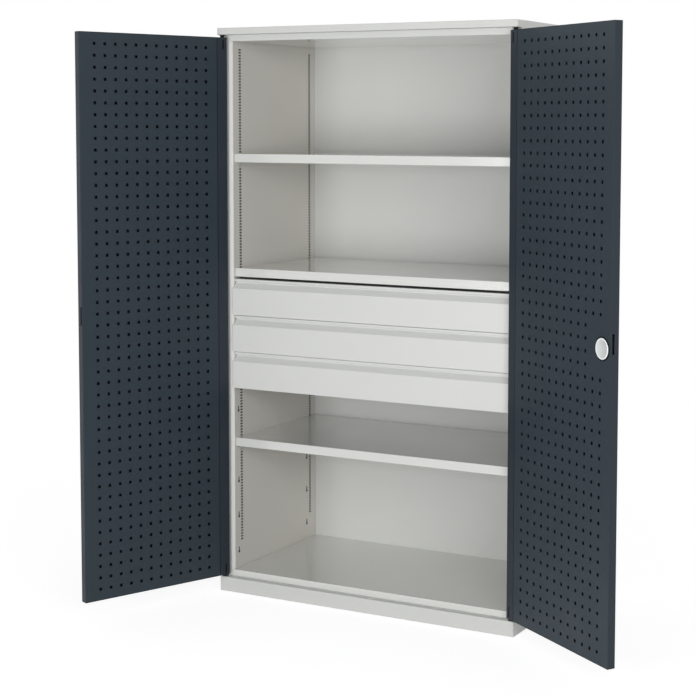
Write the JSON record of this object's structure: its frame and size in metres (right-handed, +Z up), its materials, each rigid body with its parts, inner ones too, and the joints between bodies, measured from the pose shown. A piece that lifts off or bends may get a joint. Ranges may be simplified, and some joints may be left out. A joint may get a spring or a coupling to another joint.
{
  "type": "tool cabinet with doors",
  "caption": "Tall sheet-steel tool cabinet with two perforated hinged doors, a three-point turn-handle lock, shelves and full-width telescopic drawers.",
  "frame": {"origin": "centre of the cabinet's footprint on the floor, in the plane of the base frame's underside", "axes": "+X to the right seen from the front, +Y from the doors to the back panel, +Z up; the doors are on the -Y side"},
  "size_m": [1.7825, 1.0956, 1.95],
  "materials": {
    "carcass_grey": "fine matt powder coat, light grey",
    "drawer_grey": "fine matt powder coat, light grey",
    "door_anthracite": "fine matt powder coat, anthracite",
    "zinc_steel": "bright zinc plating",
    "black_plastic": "fine moulded grain",
    "cover_plastic": "satin light grey moulding",
    "plug_chrome": "polished nickel"
  },
  "bodies": {
    "carcass": {"back_panel": "carcass_grey", "base_frame": "carcass_grey", "ceiling_panel": "carcass_grey", "drawer_1_outer_runners": "zinc_steel", "drawer_2_outer_runners": "zinc_steel", "drawer_3_outer_runners": "zinc_steel", "floor_pan": "carcass_grey", "header_rail": "carcass_grey", "left_side_liner": "carcass_grey", "left_side_skin": "carcass_grey", "lower_shelf": "carcass_grey", "middle_shelf": "carcass_grey", "pivot_bushes": "black_plastic", "right_side_liner": "carcass_grey", "right_side_skin": "carcass_grey", "shelf_clips": "zinc_steel", "top_panel": "carcass_grey", "upper_shelf": "carcass_grey"},
    "left_door": {"left_door_panel": "door_anthracite", "left_door_pivot_pins": "zinc_steel", "left_door_skin": "door_anthracite", "strike_plate": "door_anthracite"},
    "right_door": {"right_door_panel": "door_anthracite", "right_door_pivot_pins": "zinc_steel", "right_door_skin": "door_anthracite", "handle_rosette": "black_plastic", "lock_case": "zinc_steel", "lock_cover": "cover_plastic", "rod_guides": "black_plastic"},
    "handle": {"turn_handle": "black_plastic", "spindle": "zinc_steel", "lock_cam": "zinc_steel", "latch_tongue": "zinc_steel", "spindle_nut": "zinc_steel"},
    "key_plug": {"lock_plug": "plug_chrome"},
    "upper_rod": {"upper_lock_rod": "zinc_steel"},
    "lower_rod": {"lower_lock_rod": "zinc_steel"},
    "drawer_1": {"drawer_1_front": "drawer_grey", "drawer_1_tray": "drawer_grey", "drawer_1_inner_runners": "zinc_steel"},
    "drawer_1_slides": {"drawer_1_middle_runners": "zinc_steel"},
    "drawer_2": {"drawer_2_front": "drawer_grey", "drawer_2_tray": "drawer_grey", "drawer_2_inner_runners": "zinc_steel"},
    "drawer_2_slides": {"drawer_2_middle_runners": "zinc_steel"},
    "drawer_3": {"drawer_3_front": "drawer_grey", "drawer_3_tray": "drawer_grey", "drawer_3_inner_runners": "zinc_steel"},
    "drawer_3_slides": {"drawer_3_middle_runners": "zinc_steel"}
  },
  "joints": [
    {"name": "left_door_hinge", "type": "hinge", "parent": "carcass", "child": "left_door", "pos_m": [-0.548, -0.287, 0], "axis": [0, 0, -1], "range_deg": [-113, 67]},
    {"name": "right_door_hinge", "type": "hinge", "parent": "carcass", "child": "right_door", "pos_m": [0.548, -0.287, 0], "axis": [0, 0, 1], "range_deg": [-146, 34]},
    {"name": "handle_turn", "type": "hinge", "parent": "right_door", "child": "handle", "pos_m": [0.97062, -0.55638, 0.985], "axis": [0.5592, 0.829, 0], "range_deg": [0, 90]},
    {"name": "key_turn", "type": "hinge", "parent": "handle", "child": "key_plug", "pos_m": [0.97062, -0.55638, 0.985], "axis": [0.5592, 0.829, 0], "range_deg": [0, 90]},
    {"name": "upper_rod_slide", "type": "slide", "parent": "right_door", "child": "upper_rod", "axis": [0, 0, 1], "range_m": [0, 0.02122]},
    {"name": "lower_rod_slide", "type": "slide", "parent": "right_door", "child": "lower_rod", "axis": [0, 0, -1], "range_m": [0, 0.02122]},
    {"name": "drawer_1_slide", "type": "slide", "parent": "carcass", "child": "drawer_1", "axis": [0, -1, 0], "range_m": [0, 0.5]},
    {"name": "drawer_1_middle_slide", "type": "slide", "parent": "carcass", "child": "drawer_1_slides", "axis": [0, -1, 0], "range_m": [0, 0.25]},
    {"name": "drawer_2_slide", "type": "slide", "parent": "carcass", "child": "drawer_2", "axis": [0, -1, 0], "range_m": [0, 0.5]},
    {"name": "drawer_2_middle_slide", "type": "slide", "parent": "carcass", "child": "drawer_2_slides", "axis": [0, -1, 0], "range_m": [0, 0.25]},
    {"name": "drawer_3_slide", "type": "slide", "parent": "carcass", "child": "drawer_3", "axis": [0, -1, 0], "range_m": [0, 0.5]},
    {"name": "drawer_3_middle_slide", "type": "slide", "parent": "carcass", "child": "drawer_3_slides", "axis": [0, -1, 0], "range_m": [0, 0.25]}
  ],
  "couplings": [
    {"joint": "upper_rod_slide", "follows": "handle_turn", "m_per_rad": 0.013505},
    {"joint": "lower_rod_slide", "follows": "handle_turn", "m_per_rad": 0.013505},
    {"joint": "drawer_1_middle_slide", "follows": "drawer_1_slide", "ratio": 0.5},
    {"joint": "drawer_2_middle_slide", "follows": "drawer_2_slide", "ratio": 0.5},
    {"joint": "drawer_3_middle_slide", "follows": "drawer_3_slide", "ratio": 0.5}
  ]
}
